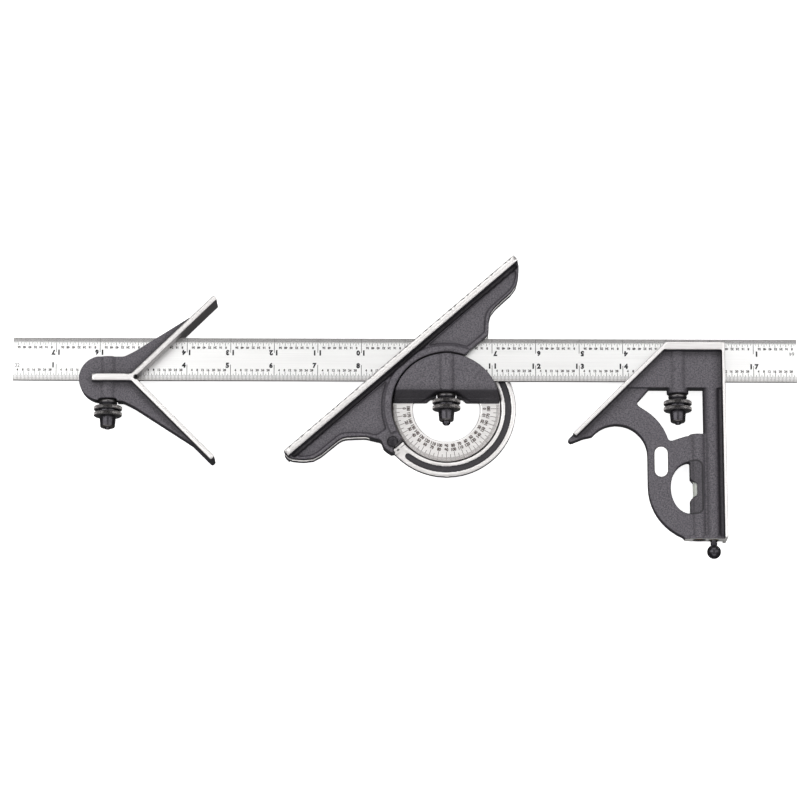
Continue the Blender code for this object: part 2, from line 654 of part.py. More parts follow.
def make_frame():
    """The frame is drawn about the turret axis, u along the straight edge and v towards it."""
    frame = empty("protractor_frame_axis", TURRET_STATION, -TURRET_DROP, PROTRACTOR_ANGLE)
    right = wing_outline()
    left = mirrored(right)[:-2]
    edge = rounded(
        [(EDGE_HALF - 0.2, EDGE_V - 0.3), (-EDGE_HALF + 0.2, EDGE_V - 0.3)]
        + left
        + [(-57.5, 26.0, 9.0), (-47.2, 17.6, 5.0), (-41.9, 9.9, 1.5), (-43.6, 5.4, 2.5)]
        + [(-42.3, -0.2, 1.2), (-40.0, -0.2), (-39.9, 2.1), (-24.0, 2.1)]
        + [(-20.0, 10.0), (20.0, 15.9)]
        + right
    )
    body = plate("protractor_frame", frame, [edge], WING_BACK, WING_TOP, CASTING)
    land_low = EDGE_V - EDGE_LAND
    start = math.degrees(math.asin(15.9 / 36.2))
    border = arc(0, 0, 36.2, start, 166, 28) + arc(0, 0, BORE_RADIUS - 1, 166, start + 4, 28)
    full_outer = arc(0, 0, PLATE_RADIUS, 0, 355, 71)
    full_inner = arc(0, 0, BORE_RADIUS - 0.5, 0, 352.5, 47)
    join(
        body,
        block("edge_land", frame, (-EDGE_HALF, land_low, -LAND), (EDGE_HALF, EDGE_V, LAND)),
        plate("arc_plate", frame, [full_outer, full_inner], DIAL_BACK, DIAL_TOP - 0.02),
        plate("border_ring", frame, [border], 0, 6.8),
    )
    everywhere = 120.0
    sweep = [
        (-everywhere, everywhere),
        (-everywhere, 15.6),
        (-25.0, 15.6),
        (-25.0, -15.6),
        (-everywhere, -15.6),
        (-everywhere, -everywhere),
        (everywhere, -everywhere),
        (everywhere, everywhere),
    ]
    groove_end, groove_radius, groove_half = 190.5, 36.05, 1.95
    turn = math.radians(groove_end)
    groove = arc(0, 0, groove_radius + groove_half, groove_end, 375, 44)
    groove += arc(0, 0, groove_radius - groove_half, 375, groove_end, 44)
    groove += arc(
        groove_radius * math.cos(turn),
        groove_radius * math.sin(turn),
        groove_half,
        groove_end + 200,
        groove_end + 340,
        7,
    )
    lock = lock_frame("protractor_lock_axis")
    cutters = [
        plate("blade_sweep", frame, [sweep], -SLOT, SLOT),
        rod("frame_bore", frame, BORE_RADIUS, (0, 0, -12), (0, 0, 12), sides=72),
        rod("flange_recess", frame, FLANGE_RADIUS + GAP, (0, 0, -12), (0, 0, FLANGE_TOP + GAP), sides=72),
        rod("ring_recess", frame, RING_OUTER + 0.4, (0, 0, -12), (0, 0, DIAL_BACK), sides=72),
        plate("arc_groove", frame, [groove], DIAL_TOP - 0.6, DIAL_TOP + 0.5),
        block("channel_front", frame, (-86.5, land_low - 2.2, 3.2), (86.5, land_low, LAND + 1)),
        block("lock_recess", lock, (-47.5, -5.6, -12), (-30.0, 5.6, DIAL_BACK)),
        rod("lock_hole", lock, 2.3, (LOCK_U, 0, -12), (LOCK_U, 0, 12), sides=24),
    ]
    for side in (1, -1):
        outline = pocket(side)
        cutters.append(plate(f"pocket_front_{side}", frame, [outline], POCKET_FLOOR, LAND + 1))
        cutters.append(plate(f"pocket_back_{side}", frame, [outline], -LAND - 1, WING_BACK + 1.4))
    cutters += [
        rod(f"screw_hole_{i}", frame, 1.3, (*spot, -12), (*spot, -2.6), sides=16)
        for i, spot in enumerate(screw_spots(), 1)
    ]
    cut(body, *cutters)
    make_retaining_ring(frame)
    make_turret_lock(lock_frame("turret_lock_axis"))


def lock_frame(name):
    """About the turret axis, with the lock screw at (LOCK_U, 0)."""
    return empty(name, TURRET_STATION, -TURRET_DROP, PROTRACTOR_ANGLE + LOCK_TURN)


def pocket(side):
    """The sunk panel of one wing, inside its rim."""
    start = math.degrees(math.asin(18.6 / 37.6)) if side > 0 else 20.0
    curve = arc(0, 0, 37.6, 66, start, 8)
    low = [(46.0, 18.6, 1.5), (54.5, 27.4, 10.0), (78.0, 28.0, 12.0), (85.5, 35.2, 1.0)]
    if side < 0:
        low = [(42.0, 14.0, 1.0), (45.4, 18.6, 2.0), (56.0, 28.4, 10.0)]
        low += [(78.0, 28.8, 12.0), (85.5, 35.2, 1.0)]
    corners = rounded(curve + low)
    return corners if side > 0 else [(-u, v) for u, v in reversed(corners)]


def screw_spots():
    """Four fixing screws between the arc plate's edges, clear of the lock."""
    turns = [math.radians(angle) for angle in (45, 135, 225, 315)]
    return [(SCREW_CIRCLE * math.cos(t), SCREW_CIRCLE * math.sin(t)) for t in turns]


def make_retaining_ring(frame):
    """A ring with a gap for the lock shoe holds the turret's flange in the frame."""
    low, high = DIAL_BACK - 1.8, DIAL_BACK - GAP
    first, last = LOCK_TURN - 171, LOCK_TURN + 171
    outline = arc(0, 0, RING_OUTER, first, last, 64) + arc(0, 0, RING_INNER, last, first, 64)
    holes = [arc(x, y, 1.3, 0, 337.5, 15) for x, y in screw_spots()]
    plate("turret_retaining_ring", frame, [outline] + holes, low, high, STEEL)
    for i, (x, y) in enumerate(screw_spots(), 1):
        profile = [(0, -2.9), (0.7, -2.9), (1.0, -3.2), (1.0, low - GAP), (1.9, low - GAP)]
        profile += [(1.9, low - 1.0), (1.6, low - 1.4), (0, low - 1.4)]
        turned(f"ring_screw_{i}", frame, profile, STEEL, (x, y, 0), sides=12)


def make_turret_lock(frame):
    """A lock screw through the frame draws a shoe onto the turret's flange."""
    screw = [(0, 6.9), (2.6, 6.9), (3.0, 6.5), (3.0, 5.9), (2.0, 5.9), (2.0, -8.6), (1.7, -8.9), (0, -8.9)]
    body = turned("turret_lock_screw", frame, screw, BLACK_OXIDE, (LOCK_U, 0, 0), sides=24)
    cut(body, block("lock_slot", frame, (LOCK_U - 4, -0.5, 6.3), (LOCK_U + 4, 0.5, 8)))
    nut = [(2.3, -7.0), (4.6, -7.0), (5.0, -7.3), (5.0, -8.8), (4.6, -9.1), (2.3, -9.1)]
    turned("turret_lock_nut", frame, nut, BLACK_OXIDE, (LOCK_U, 0, 0))
    outline = rounded([(-30.2, 3.6, 0.8), (-42.8, 3.6, 3.0), (-42.8, -3.6, 3.0), (-30.2, -3.6, 0.8)])
    hole = arc(LOCK_U, 0, 2.3, 0, 345, 23)
    plate("turret_lock_shoe", frame, [outline, hole], DIAL_BACK - 1.8, DIAL_BACK - GAP, BRASS)


def smooth_round_pieces():
    """Round faces shade smooth, and edges sharper than 35 degrees stay sharp."""
    for made in PARTS.objects:
        if made.type == "MESH":
            made.data.shade_smooth()
            made.data.set_sharp_from_angle(angle=math.radians(35))


make_blade()
make_center_head()
make_turret()
make_frame()
make_square_head()
smooth_round_pieces()
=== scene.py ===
import math

import bmesh
import bpy
import numpy as np
from mathutils import Matrix, Vector

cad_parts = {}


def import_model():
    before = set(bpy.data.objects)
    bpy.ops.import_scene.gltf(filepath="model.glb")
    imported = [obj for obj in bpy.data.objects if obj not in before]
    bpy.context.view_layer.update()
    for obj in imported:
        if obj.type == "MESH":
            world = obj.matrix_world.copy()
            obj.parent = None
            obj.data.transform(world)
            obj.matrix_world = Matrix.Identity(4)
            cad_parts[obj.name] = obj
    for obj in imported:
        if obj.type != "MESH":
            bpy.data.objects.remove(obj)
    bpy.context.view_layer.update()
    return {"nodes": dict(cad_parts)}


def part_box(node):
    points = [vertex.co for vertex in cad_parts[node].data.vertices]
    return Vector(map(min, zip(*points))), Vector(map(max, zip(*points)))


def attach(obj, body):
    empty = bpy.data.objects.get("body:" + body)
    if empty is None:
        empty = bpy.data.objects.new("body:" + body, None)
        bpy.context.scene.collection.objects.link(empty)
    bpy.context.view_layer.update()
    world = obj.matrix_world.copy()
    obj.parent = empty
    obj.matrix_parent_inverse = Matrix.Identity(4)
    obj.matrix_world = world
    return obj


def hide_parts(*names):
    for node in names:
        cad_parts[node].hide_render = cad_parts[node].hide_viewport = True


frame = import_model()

# Looks of the combination square set. +X runs along the blade and +Z is up, as in the CAD model.
# Lengths below are millimetres, and MM turns them into metres.

MM = 0.001

NODES = frame["nodes"]
INCH = 25.4

# Places, read from the frame
BLADE_LOW, BLADE_HIGH = (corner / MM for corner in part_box("blade"))
MIDDLE_Z = (BLADE_LOW.z + BLADE_HIGH.z) / 2
LAND = 9.5  # half the width of a ground land


def clamp_axis(head):
    low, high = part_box(head + "_clamp_nut")
    return (low.x + high.x) / 2 / MM


CENTER_X = clamp_axis("center")
TURRET_X = clamp_axis("turret")
SQUARE_X = clamp_axis("square")
FLANGE_RADIUS = 33.0
TURRET_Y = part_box("protractor_turret")[0].y / MM + FLANGE_RADIUS
SWIVEL = math.radians(41.4)
ACROSS_EDGE = Vector((-math.sin(SWIVEL), math.cos(SWIVEL), 0.0))
TURRET_AXIS = Vector((TURRET_X, TURRET_Y, MIDDLE_Z))

# Sizes shared with the CAD model
SLOT = 1.5  # half the width of a blade slot
DIAL_TOP = MIDDLE_Z - SLOT
PLATE_TOP = DIAL_TOP - 0.02  # top of the arc plate beside the dial
GROOVE_FLOOR = MIDDLE_Z - 2.1  # floor of the black groove in the arc plate
EDGE_OUT = 41.5  # from the turret's axis to the straight edge
VERTEX_X = CENTER_X + 16.0  # bottom of the centre head's vee
MITRE_X = SQUARE_X - 7.0  # where the mitre leaves the square head's top edge
SCOOP_LEFT, SCOOP_RIGHT = SQUARE_X + 4.2, SQUARE_X + 13.3  # the sunk place over the vial
SCOOP_CORNER = 3.4  # its corner radius
INK_LIFT = 0.004  # how far the ink stands off the metal below it


# ---------------------------------------------------------------- materials


class Look:
    """A Principled material and short ways to add nodes to it."""

    def __init__(self, name, colour=(0.8, 0.8, 0.8), roughness=0.5, metallic=0.0):
        self.material = bpy.data.materials.new(name)
        self.material.use_nodes = True
        self.nodes = self.material.node_tree.nodes
        self.shader = self.nodes["Principled BSDF"]
        self.set("Base Color", (*colour, 1.0))
        self.set("Roughness", roughness)
        self.set("Metallic", metallic)
        self.object_space = None

    def set(self, socket, value):
        self.shader.inputs[socket].default_value = value

    def link(self, source, target):
        self.material.node_tree.links.new(source, target)

    def node(self, kind, inputs=(), **settings):
        made = self.nodes.new("ShaderNode" + kind)
        for key, value in settings.items():
            setattr(made, key, value)
        for socket, value in dict(inputs).items():
            if isinstance(value, bpy.types.NodeSocket):
                self.link(value, made.inputs[socket])
            else:
                made.inputs[socket].default_value = value
        return made

    def position(self):
        """Object coordinates in millimetres."""
        if self.object_space is None:
            source = self.node("TexCoord").outputs["Object"]
            scale = self.node("VectorMath", {0: source, 1: (1 / MM,) * 3}, operation="MULTIPLY")
            self.object_space = scale.outputs["Vector"]
        return self.object_space

    def normal(self):
        return self.node("TexCoord").outputs["Normal"]

    def stretched(self, scale, turn=0.0):
        """Object coordinates with each axis scaled, for grain that runs one way."""
        mapping = self.node(
            "Mapping", {"Vector": self.position(), "Scale": scale, "Rotation": (0.0, 0.0, turn)}
        )
        return mapping.outputs["Vector"]

    def noise(self, size, detail=3.0, rough=0.55, vector=None):
        """Noise whose blotches are about size millimetres across."""
        inputs = {
            "Vector": vector or self.position(),
            "Scale": 1.0 / size,
            "Detail": detail,
            "Roughness": rough,
        }
        return self.node("TexNoise", inputs).outputs["Fac"]

    def cells(self, size):
        inputs = {"Vector": self.position(), "Scale": 1.0 / size}
        return self.node("TexVoronoi", inputs, feature="SMOOTH_F1").outputs["Distance"]

    def math(self, operation, a, b=0.0):
        made = self.node("Math", {0: a, 1: b}, operation=operation)
        return made.outputs["Value"]

    def remap(self, value, low, high, to_low=0.0, to_high=1.0):
        inputs = {
            "Value": value,
            "From Min": low,
            "From Max": high,
            "To Min": to_low,
            "To Max": to_high,
        }
        return self.node("MapRange", inputs).outputs["Result"]

    def mix(self, factor, a, b):
        """Mixes two colours, each a tuple or a colour socket."""
        made = self.node("Mix", data_type="RGBA")
        for socket, value in ((made.inputs[0], factor), (made.inputs[6], a), (made.inputs[7], b)):
            if isinstance(value, bpy.types.NodeSocket):
                self.link(value, socket)
            else:
                socket.default_value = value if isinstance(value, float) else (*value, 1.0)
        return made.outputs[2]

    def mix_value(self, factor, a, b):
        made = self.node("Mix", data_type="FLOAT")
        for socket, value in ((made.inputs[0], factor), (made.inputs[2], a), (made.inputs[3], b)):
            if isinstance(value, bpy.types.NodeSocket):
                self.link(value, socket)
            else:
                socket.default_value = value
        return made.outputs[0]

    def separate(self, vector):
        return self.node("SeparateXYZ", {"Vector": vector}).outputs

    def drive(self, socket, source):
        self.link(source, self.shader.inputs[socket])

    def bump(self, height, distance, strength=1.0):
        made = self.node("Bump", {"Height": height, "Distance": distance * MM, "Strength": strength})
        self.drive("Normal", made.outputs["Normal"])


def beyond(look, plane, reach=0.06):
    """1 where a point lies on a ground plane, given as (point, outward normal), and 0 inside it."""
    point, normal = Vector(plane[0]), Vector(plane[1]).normalized()
    dot = look.node("VectorMath", {0: look.position(), 1: normal}, operation="DOT_PRODUCT")
    return look.math("GREATER_THAN", dot.outputs["Value"], point.dot(normal) - reach)


def ground_mask(look, planes):
    mask = beyond(look, planes[0])
    for plane in planes[1:]:
        mask = look.math("MAXIMUM", mask, beyond(look, plane))
    return mask


def casting_look(name, planes, extra=None, grain_turn=0.0, shadow=None, end=None):
    """Charcoal wrinkle finish on the casting, with bright ground steel on its working planes.

    extra adds to the ground places, shadow adds painted shade to the paint, and end is a ground plane
    that faces the camera's side, where the steel is painted light.
    """
    look = Look(name)
    fine = look.noise(0.8, 3.0, 0.65)
    blotch = look.noise(9.0, 2.0)
    cell = look.cells(1.3)
    paint = look.mix(look.remap(fine, 0.38, 0.62), (0.046, 0.042, 0.050), (0.140, 0.128, 0.146))
    paint = look.mix(look.remap(blotch, 0.3, 0.7, 0.0, 0.35), paint, (0.078, 0.070, 0.084))
    # Painted shade: the paint is darkened in creases and hollows, where ambient occlusion finds them.
    shade = look.node("AmbientOcclusion", {"Distance": 4.0 * MM}, samples=6).outputs["AO"]
    crease_shade = look.remap(shade, 0.50, 0.97)
    paint = look.mix(crease_shade, (0.014, 0.012, 0.016), paint)
    # Painted shade: steep painted faces are darkened, as if lit from above only.
    upright = look.math("ABSOLUTE", look.separate(look.normal())["Z"])
    paint = look.mix(look.remap(upright, 0.40, 0.985, 0.90, 0.0), paint, (0.022, 0.020, 0.025))
    if shadow is not None:
        paint = look.mix(shadow(look), paint, (0.016, 0.014, 0.018))
    mask = ground_mask(look, planes)
    if extra is not None:
        mask = look.math("MAXIMUM", mask, extra(look))
    scratches = look.noise(1.0, 2.0, 0.6, look.stretched((0.06, 3.2, 3.2), grain_turn))
    steel = look.mix(look.remap(scratches, 0.3, 0.7), (0.66, 0.638, 0.628), (0.785, 0.77, 0.76))
    # Painted shade: the steep sides of the ground steel are painted darker.
    side = look.remap(upright, 0.3, 0.8, 1.0, 0.0)
    steel = look.mix(side, steel, (0.34, 0.32, 0.325))
    metal = mask
    # Painted light: on the end plane, steel facing the camera's side is painted a pale, mostly non-metallic
    # grey in place of a reflection.
    if end is not None:
        facing = look.math("LESS_THAN", look.separate(look.normal())["Y"], -0.6)
        light = look.math("MULTIPLY", beyond(look, end, 0.35), facing)
        steel = look.mix(light, steel, (0.88, 0.86, 0.84))
        metal = look.math("SUBTRACT", mask, look.math("MULTIPLY", light, 0.9))
    look.drive("Base Color", look.mix(mask, paint, steel))
    look.drive("Metallic", metal)
    paint_rough = look.remap(fine, 0.3, 0.7, 0.62, 0.48)
    steel_rough = look.remap(scratches, 0.3, 0.7, 0.34, 0.46)
    look.drive("Roughness", look.mix_value(mask, paint_rough, steel_rough))
    wrinkle = look.math("ADD", look.math("MULTIPLY", cell, 0.6), fine)
    height = look.mix_value(mask, wrinkle, look.math("MULTIPLY", scratches, 0.04))
    look.bump(height, 0.30, 0.8)
    look.set("Specular IOR Level", 0.5)
    return look.material


def chrome_look():
    """Satin chrome with fine lengthwise grain, darker bands along its top and bottom edges, and painted
    shade on its steep sides.
    """
    look = Look("satin_chrome", metallic=1.0)
    grain = look.noise(1.0, 3.0, 0.6, look.stretched((0.02, 5.0, 5.0)))
    cloud = look.noise(28.0, 2.0)
    bright = look.mix(look.remap(grain, 0.35, 0.65), (0.830, 0.827, 0.820), (0.890, 0.887, 0.880))
    bright = look.mix(look.remap(cloud, 0.35, 0.7, 0.0, 0.4), bright, (0.84, 0.836, 0.825))
    y = look.separate(look.position())["Y"]
    # Darker bands along the blade's top and bottom edges.
    low = look.remap(y, BLADE_LOW.y + 0.9, BLADE_LOW.y + 1.9, 1.0, 0.0)
    high = look.remap(y, BLADE_HIGH.y - 2.6, BLADE_HIGH.y - 0.3, 0.0, 1.0)
    edge_bands = look.math("MAXIMUM", look.math("MULTIPLY", low, 0.45), look.math("MULTIPLY", high, 0.30))
    colour = look.mix(edge_bands, bright, (0.50, 0.475, 0.46))
    # Painted shade: the blade's steep sides are painted dark.
    upright = look.math("ABSOLUTE", look.separate(look.normal())["Z"])
    side = look.remap(upright, 0.3, 0.8, 1.0, 0.0)
    look.drive("Base Color", look.mix(side, colour, (0.13, 0.12, 0.125)))
    look.drive("Roughness", look.remap(grain, 0.3, 0.7, 0.30, 0.40))
    look.bump(grain, 0.006, 0.5)
    return look.material


def black_oxide_look(name, worn_edges):
    """Oiled black oxide. A turned piece can be worn to gray on its proud edges."""
    look = Look(name, metallic=0.75)
    stain = look.noise(1.6, 3.0)
    base = look.mix(look.remap(stain, 0.3, 0.7), (0.028, 0.026, 0.031), (0.068, 0.064, 0.072))
    if worn_edges:
        pointed = look.node("NewGeometry").outputs["Pointiness"]
        base = look.mix(look.remap(pointed, 0.512, 0.58), base, (0.27, 0.255, 0.24))
    look.drive("Base Color", base)
    look.drive("Roughness", look.remap(stain, 0.3, 0.7, 0.17, 0.30))
    look.bump(look.noise(0.35, 2.0), 0.02, 0.25)
    return look.material


def turned_steel_look(name, colour, dark, roughness, ring=0.35):
    """Turned metal with fine tool marks."""
    look = Look(name, metallic=1.0)
    marks = look.noise(ring, 2.0, 0.5, look.stretched((0.12, 1.0, 0.12)))
    stain = look.noise(3.0, 3.0)
    tone = look.mix(look.remap(marks, 0.35, 0.65), colour, dark)
    look.drive("Base Color", look.mix(look.remap(stain, 0.5, 0.8, 0.0, 0.4), tone, dark))
    look.drive("Roughness", look.remap(stain, 0.3, 0.7, roughness, roughness + 0.12))
    look.bump(marks, 0.02, 0.3)
    return look.material


def ink_look(name, colour):
    """Filled etching: matt, a little uneven."""
    look = Look(name, roughness=0.7)
    patch = look.noise(0.6, 2.0)
    paler = tuple(min(1.0, c * 1.6 + 0.02) for c in colour)
    look.drive("Base Color", look.mix(look.remap(patch, 0.4, 0.75, 0.0, 0.5), colour, paler))
    look.set("Specular IOR Level", 0.2)
    return look.material


def enamel_look():
    look = Look("white_enamel")
    speck = look.noise(1.5, 3.0)
    look.drive("Base Color", look.mix(look.remap(speck, 0.4, 0.8), (1.0, 0.99, 0.98), (0.95, 0.94, 0.93)))
    # Painted light: the enamel glows faintly, so it looks brighter than the lamps alone make it.
    look.set("Emission Color", (1.0, 1.0, 1.0, 1.0))
    look.set("Emission Strength", 0.22)
    look.drive("Roughness", look.remap(speck, 0.3, 0.7, 0.26, 0.36))
    look.set("Coat Weight", 0.4)
    look.bump(speck, 0.01, 0.3)
    return look.material


def rubber_look():
    look = Look("black_rubber")
    grain = look.noise(0.3, 3.0)
    look.drive("Base Color", look.mix(grain, (0.012, 0.012, 0.012), (0.035, 0.034, 0.033)))
    look.drive("Roughness", look.remap(grain, 0.3, 0.7, 0.72, 0.88))
    look.bump(grain, 0.03, 0.5)
    return look.material


def glass_look(name, colour, ior, roughness=0.01, clear=1.0):
    look = Look(name, colour=colour, roughness=roughness)
    look.set("Transmission Weight", clear)
    look.set("IOR", ior)
    ripple = look.noise(2.5, 1.0)
    look.bump(ripple, 0.01, 0.2)
    return look.material


# ---------------------------------------------------------------- meshes


def new_piece(name, mesh, finish, body, slot, *replaced):
    piece = bpy.data.objects.new(name, mesh)
    bpy.context.scene.collection.objects.link(piece)
    mesh.materials.clear()
    mesh.materials.append(finish)
    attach(piece, body)
    if replaced:
        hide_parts(*replaced)
    return piece


def triangle_mesh(name, points, faces):
    """A mesh from arrays of points in millimetres and faces."""
    mesh = bpy.data.meshes.new(name)
    mesh.from_pydata((np.asarray(points) * MM).tolist(), [], np.asarray(faces).tolist())
    mesh.validate()
    mesh.update()
    return mesh


def evaluated_mesh(piece):
    """The piece's mesh with its modifiers applied."""
    bpy.context.view_layer.update()
    graph = bpy.context.evaluated_depsgraph_get()
    return bpy.data.meshes.new_from_object(piece.evaluated_get(graph))


def remeshed(node, voxel):
    """A copy of a CAD node's mesh as even quads, voxel millimetres across."""
    mesh = NODES[node].data.copy()
    work = bmesh.new()
    work.from_mesh(mesh)
    bmesh.ops.remove_doubles(work, verts=work.verts, dist=0.001 * MM)
    work.to_mesh(mesh)
    work.free()
    piece = bpy.data.objects.new(node + "_remesh", mesh)
    bpy.context.scene.collection.objects.link(piece)
    step = piece.modifiers.new("voxels", "REMESH")
    step.mode = "VOXEL"
    step.voxel_size = voxel * MM
    step.use_smooth_shade = True
    result = evaluated_mesh(piece)
    bpy.data.objects.remove(piece, do_unlink=True)
    return result


def mesh_points(mesh):
    points = np.empty(len(mesh.vertices) * 3, np.float32)
    mesh.vertices.foreach_get("co", points)
    return points.reshape(-1, 3).astype(np.float64) / MM


def soften(mesh, planes, passes, hold=0.16):
    """Rounds a mesh by averaging neighbours. Points on a plane stay on it, so it stays flat."""
    points = mesh_points(mesh)
    edges = np.empty(len(mesh.edges) * 2, np.int32)
    mesh.edges.foreach_get("vertices", edges)
    a, b = edges.reshape(-1, 2).T
    count = len(points)
    degree = np.bincount(edges, minlength=count)[:, None]
    held = []
    for point, normal in planes:
        normal = np.array(Vector(normal).normalized())
        off = (points - np.array(Vector(point))) @ normal
        on = np.abs(off) < hold
        points[on] -= np.outer(off[on], normal)
        held.append((on, normal))
    for _ in range(passes):
        total = np.empty_like(points)
        for axis in range(3):
            column = points[:, axis]
            total[:, axis] = np.bincount(a, column[b], count) + np.bincount(b, column[a], count)
        move = 0.5 * (total / degree - points)
        for on, normal in held:
            move[on] -= np.outer(move[on] @ normal, normal)
        points += move
    mesh.vertices.foreach_set("co", (points * MM).astype(np.float32).ravel())
    mesh.update()


def thinned(mesh, ratio):
    """Fewer triangles, most of them taken from flat places."""
    piece = bpy.data.objects.new("thinning", mesh)
    bpy.context.scene.collection.objects.link(piece)
    step = piece.modifiers.new("thin", "DECIMATE")
    step.ratio = ratio
    result = evaluated_mesh(piece)
    bpy.data.objects.remove(piece, do_unlink=True)
    result.shade_smooth()
    return result


def cast_piece(name, node, body, finish, planes, voxel=0.42, passes=5, ratio=0.4):
    """The cast part with rounded edges and fillets, standing for its CAD node."""
    mesh = remeshed(node, voxel)
    soften(mesh, planes, passes)
    mesh = thinned(mesh, ratio)
    return new_piece(name, mesh, finish, body, "casting_paint", node)


def lathe(name, profile, place, steps=96, teeth=0, depth=0.0, knurled=None):
    """A closed turned mesh along Y from (radius, height) points, with optional knurled bands."""
    points, faces = [], []
    rows = len(profile)
    for radius, height in profile:
        for i in range(steps):
            turn = 2 * math.pi * i / steps
            r = radius
            if teeth and knurled(radius):
                phase = (i * teeth / steps) % 1.0
                r -= depth * (1 - abs(2 * phase - 1)) ** 0.7
            x, z = r * math.cos(turn), r * math.sin(turn)
            points.append((place[0] + x, place[1] + height, place[2] - z))
    closed = profile[0][0] > 0 and profile[-1][0] > 0
    for row in range(rows if closed else rows - 1):
        below = (row + 1) % rows
        for i in range(steps):
            j = (i + 1) % steps
            faces.append((row * steps + i, below * steps + i, below * steps + j, row * steps + j))
    mesh = triangle_mesh(name, points, faces)
    work = bmesh.new()
    work.from_mesh(mesh)
    bmesh.ops.remove_doubles(work, verts=work.verts, dist=0.0005 * MM)
    bmesh.ops.recalc_face_normals(work, faces=work.faces)
    work.to_mesh(mesh)
    work.free()
    mesh.shade_smooth()
    mesh.set_sharp_from_angle(angle=math.radians(42))
    return mesh


def bevelled(node, width, segments=2, angle=35):
    """Softens a CAD node's sharp edges with a modifier."""
    weld = NODES[node].modifiers.new("weld", "WELD")
    weld.merge_threshold = 0.001 * MM
    bevel = NODES[node].modifiers.new("edges", "BEVEL")
    bevel.width = width * MM
    bevel.segments = segments
    bevel.limit_method = "ANGLE"
    bevel.angle_limit = math.radians(angle)
    bevel.use_clamp_overlap = True


def dress(node, finish):
    mesh = NODES[node].data
    mesh.materials.clear()
    mesh.materials.append(finish)
    for polygon in mesh.polygons:
        polygon.material_index = 0


# ---------------------------------------------------------------- marks


class Marks:
    """Filled lines and figures, collected into one mesh of thin closed plates."""

    def __init__(self, thickness=0.02):
        self.points = []
        self.faces = []
        self.count = 0
        self.thickness = thickness
        self.figures = {}

    def add(self, points, faces, place):
        turned = np.array(points) @ np.array(place.to_3x3()).T + np.array(place.translation)
        self.points.append(turned)
        self.faces.append(np.array(faces) + self.count)
        self.count += len(turned)

    def line(self, x, low, high, width, place):
        """A line along y at x."""
        half = width / 2
        corners = [(x - half, low), (x + half, low), (x + half, high), (x - half, high)]
        points = [(u, v, w) for w in (0.0, self.thickness) for u, v in corners]
        faces = [(0, 2, 1), (0, 3, 2), (4, 5, 6), (4, 6, 7)]
        for i in range(4):
            j = (i + 1) % 4
            faces += [(i, j, j + 4), (i, j + 4, i + 4)]
        self.add(points, faces, place)

    def figure(self, text, height, bold):
        """The mesh of a number, with its lower edge on y = 0 and its middle on x = 0."""
        key = (text, height, bold)
        if key not in self.figures:
            curve = bpy.data.curves.new("figure", "FONT")
            curve.body = text
            curve.size = 1.0
            curve.offset = bold
            curve.resolution_u = 3
            curve.extrude = 0.01
            writing = bpy.data.objects.new("figure", curve)
            bpy.context.scene.collection.objects.link(writing)
            mesh = evaluated_mesh(writing)
            bpy.data.objects.remove(writing, do_unlink=True)
            mesh.calc_loop_triangles()
            faces = np.empty(len(mesh.loop_triangles) * 3, np.int32)
            mesh.loop_triangles.foreach_get("vertices", faces)
            points = mesh_points(mesh)
            low, high = points.min(0), points.max(0)
            scale = height / (high[1] - low[1])
            middle = (low[0] + high[0]) / 2
            points[:, 0] = (points[:, 0] - middle) * scale
            points[:, 1] = (points[:, 1] - low[1]) * scale
            points[:, 2] = (points[:, 2] - low[2]) / (high[2] - low[2]) * self.thickness
            self.figures[key] = (points, faces.reshape(-1, 3))
        return self.figures[key]

    def number(self, text, x, low, height, place, bold=0.0, narrow=1.0):
        points, faces = self.figure(text, height, bold)
        self.add(points * (narrow, 1.0, 1.0), faces, place @ Matrix.Translation((x, low, 0.0)))

    def piece(self, name, finish, body, slot):
        mesh = triangle_mesh(name, np.concatenate(self.points), np.concatenate(self.faces))
        return new_piece(name, mesh, finish, body, slot)


def ruler(marks, digits, fine, place, parts, step, lengths, small, big):
    """One graduated edge: parts to the inch, small numbers every step parts, inch numbers big."""
    inches = round((BLADE_HIGH.x - BLADE_LOW.x) / INCH)
    for i in range(1, inches * parts):
        x = i * INCH / parts
        length = next(size for divisor, size in lengths if i % divisor == 0)
        marks.line(x, 0.15, length, 0.25 if i % parts else 0.32, place)
    for inch in range(inches):
        for part in range(step, parts, step):
            x = inch * INCH + part * INCH / parts - 0.35
            fine.number(str(part), x, small[0], small[1], place, 0.05, 0.97)
        if not inch:
            continue
        text, x = str(inch), inch * INCH
        beside, tall, bold = 0.9, big[1], 0.065
        if len(text) == 1:
            digits.number(text, x - beside - 0.3 * tall, big[0], tall, place, bold)
        else:
            digits.number(text[0], x - beside - 0.16 * tall, big[0], tall, place, bold)
            digits.number(text[1], x + 0.75 + 0.34 * tall, big[0], tall, place, bold)


